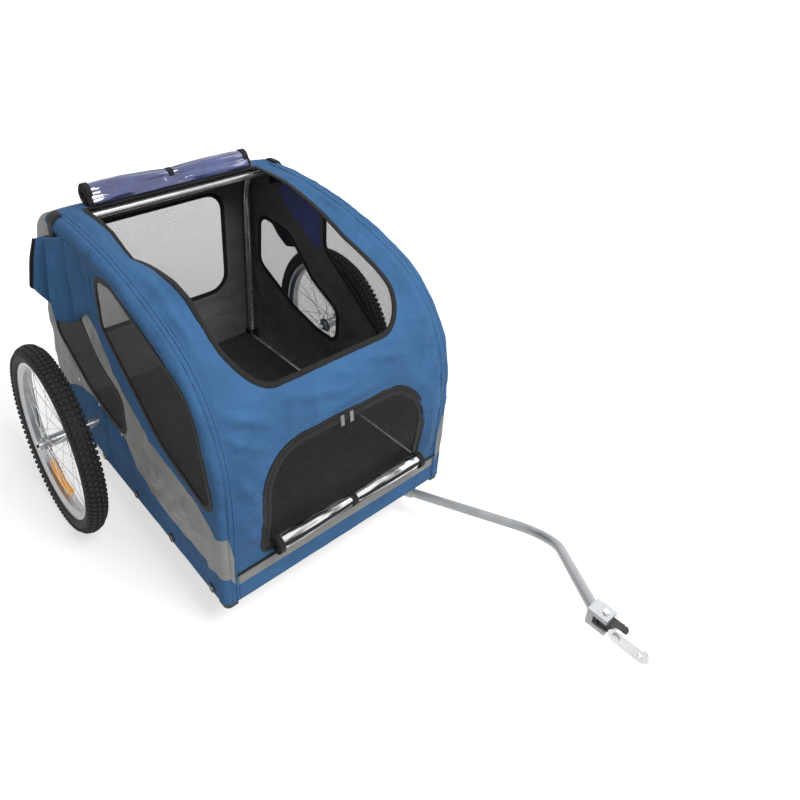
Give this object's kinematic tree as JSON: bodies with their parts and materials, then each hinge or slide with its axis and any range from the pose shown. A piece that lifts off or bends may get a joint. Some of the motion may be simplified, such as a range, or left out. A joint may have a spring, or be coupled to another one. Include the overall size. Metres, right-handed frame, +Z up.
{
  "type": "dog bike trailer",
  "caption": "Two-wheeled pet trailer: a tube frame under a sewn cover with mesh windows, open roof, spoked wheels and a bent tow arm that hitches to a bicycle axle.",
  "frame": {"origin": "on the ground under the middle of the trailer's overall length and width", "axes": "+Z up, the trailer is towed towards -Y, its right side is at -X"},
  "size_m": [0.9966, 1.527, 0.8406],
  "materials": {
    "blue_cloth": "woven coated polyester with a soft sheen",
    "dark_mesh": "open-weave polyester mesh",
    "tinted_vinyl": "rolled clear vinyl with a blue tint",
    "clear_vinyl": "rolled clear vinyl",
    "black_webbing": "woven webbing",
    "floor_cloth": "cloth-covered board",
    "silver_tube": "silver powder coat",
    "grey_steel": "grey powder coat",
    "zinc_steel": "zinc-plated steel",
    "snap_metal": "plated snap fastener",
    "black_plastic": "moulded plastic",
    "tyre_rubber": "black rubber with knobs",
    "tube_rubber": "soft rubber",
    "rim_alloy": "polished alloy",
    "spoke_steel": "bright steel",
    "amber_reflector": "amber prism plastic"
  },
  "bodies": {
    "root": {"base_cross_tubes": "silver_tube", "corner_feet": "black_plastic", "floor_board": "floor_cloth", "front_panel": "blue_cloth", "hitch_fork": "grey_steel", "hitch_pin": "zinc_steel", "left_axle": "zinc_steel", "left_base_rail": "silver_tube", "left_front_window": "dark_mesh", "left_pouch": "blue_cloth", "left_rear_window": "dark_mesh", "left_roof_strip": "blue_cloth", "left_side_hoop": "silver_tube", "left_side_panel": "blue_cloth", "left_top_connector": "black_plastic", "left_wheel_bracket": "zinc_steel", "rear_cover": "blue_cloth", "rear_window": "dark_mesh", "right_axle": "zinc_steel", "right_base_rail": "silver_tube", "right_front_window": "dark_mesh", "right_pouch": "blue_cloth", "right_rear_window": "dark_mesh", "right_roof_strip": "blue_cloth", "right_side_hoop": "silver_tube", "right_side_panel": "blue_cloth", "right_top_connector": "black_plastic", "right_wheel_bracket": "zinc_steel", "rivets": "zinc_steel", "roof_roll": "tinted_vinyl", "roof_roll_straps": "black_webbing", "snaps": "snap_metal", "top_cross_bar": "silver_tube", "tow_arm": "grey_steel", "tow_receiver": "grey_steel"},
    "right_wheel": {"right_tyre": "tyre_rubber", "right_inner_tube": "tube_rubber", "right_rim": "rim_alloy", "right_hub": "rim_alloy", "right_bearings": "spoke_steel", "right_spokes": "spoke_steel", "right_reflector": "amber_reflector"},
    "left_wheel": {"left_tyre": "tyre_rubber", "left_inner_tube": "tube_rubber", "left_rim": "rim_alloy", "left_hub": "rim_alloy", "left_bearings": "spoke_steel", "left_spokes": "spoke_steel", "left_reflector": "amber_reflector"},
    "right_button": {"right_release_button": "black_plastic"},
    "left_button": {"left_release_button": "black_plastic"},
    "tow_pin": {"tow_pin": "zinc_steel"},
    "hitch_swivel": {"hitch_block": "black_plastic", "hitch_bolt": "zinc_steel"},
    "hitch_plate": {"hitch_plate": "zinc_steel"},
    "front_door": {"front_door": "dark_mesh", "front_roll": "clear_vinyl", "front_roll_straps": "black_webbing", "zip_pulls": "zinc_steel"}
  },
  "joints": [
    {"name": "right_wheel_spin", "type": "hinge", "parent": "root", "child": "right_wheel", "pos_m": [-0.448, 0.4915, 0.248], "axis": [1, 0, 0], "continuous": true},
    {"name": "right_button_press", "type": "slide", "parent": "root", "child": "right_button", "axis": [1, 0, 0], "range_m": [0, 0.004], "stiffness_N_per_m": 900},
    {"name": "left_wheel_spin", "type": "hinge", "parent": "root", "child": "left_wheel", "pos_m": [0.448, 0.4915, 0.248], "axis": [1, 0, 0], "continuous": true},
    {"name": "left_button_press", "type": "slide", "parent": "root", "child": "left_button", "axis": [-1, 0, 0], "range_m": [0, 0.004], "stiffness_N_per_m": 900},
    {"name": "tow_pin_pull", "type": "slide", "parent": "root", "child": "tow_pin", "axis": [0.9283, 0.3719, 0], "range_m": [0, 0.04]},
    {"name": "hitch_yaw", "type": "hinge", "parent": "root", "child": "hitch_swivel", "pos_m": [0.1, -0.6725, 0.318], "axis": [0, 0, 1], "range_deg": [-60, 60]},
    {"name": "hitch_pitch", "type": "hinge", "parent": "hitch_swivel", "child": "hitch_plate", "pos_m": [0.1, -0.7045, 0.318], "axis": [1, 0, 0], "range_deg": [-40, 40]},
    {"name": "front_door_open", "type": "hinge", "parent": "root", "child": "front_door", "pos_m": [0, -0.0925, 0.2103], "axis": [1, 0, 0], "range_deg": [0, 88]}
  ]
}
